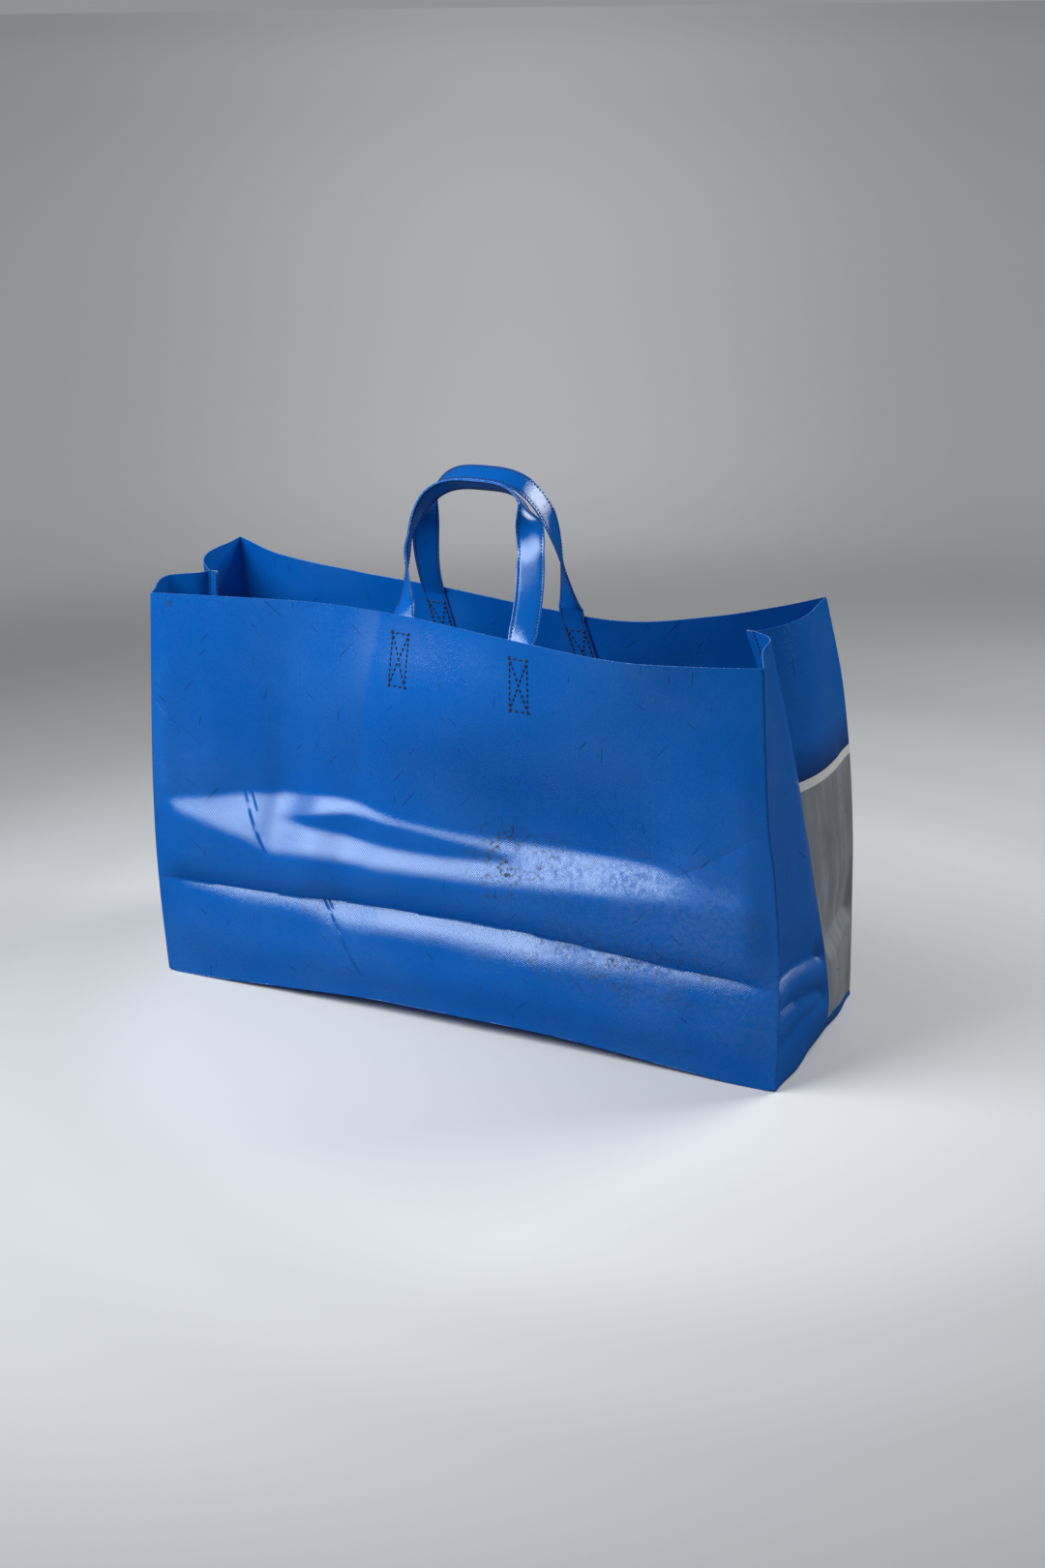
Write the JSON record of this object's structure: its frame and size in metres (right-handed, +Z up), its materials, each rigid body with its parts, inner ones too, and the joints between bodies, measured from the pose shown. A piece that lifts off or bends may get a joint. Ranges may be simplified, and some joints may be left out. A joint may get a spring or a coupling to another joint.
{
  "type": "carrier bag",
  "caption": "Open-topped gusseted carrier bag sewn from blue coated sheet, with two stitched strap handles that lean together over the mouth.",
  "frame": {"origin": "centre of the flat bottom, on the surface that the bag stands on", "axes": "+X to the bag's right along its long side, +Y from the front panel to the back panel, +Z up"},
  "size_m": [0.5966, 0.2241, 0.4494],
  "materials": {
    "front_tarpaulin": "glossy blue coated tarpaulin with a fine woven texture, scuffed",
    "back_tarpaulin": "glossy blue coated tarpaulin with a white band and a worn grey field below it",
    "strap": "glossy blue coated tarpaulin, folded, with a stitch row along each edge",
    "thread": "dark navy sewing thread"
  },
  "bodies": {
    "root": {"front_sheet": "front_tarpaulin", "back_sheet": "back_tarpaulin", "front_handle": "strap", "back_handle": "strap", "front_left_box_stitch": "thread", "front_right_box_stitch": "thread", "back_left_box_stitch": "thread", "back_right_box_stitch": "thread", "right_seam_thread": "thread", "bottom_seam_thread": "thread", "left_seam_thread": "thread"}
  },
  "joints": []
}
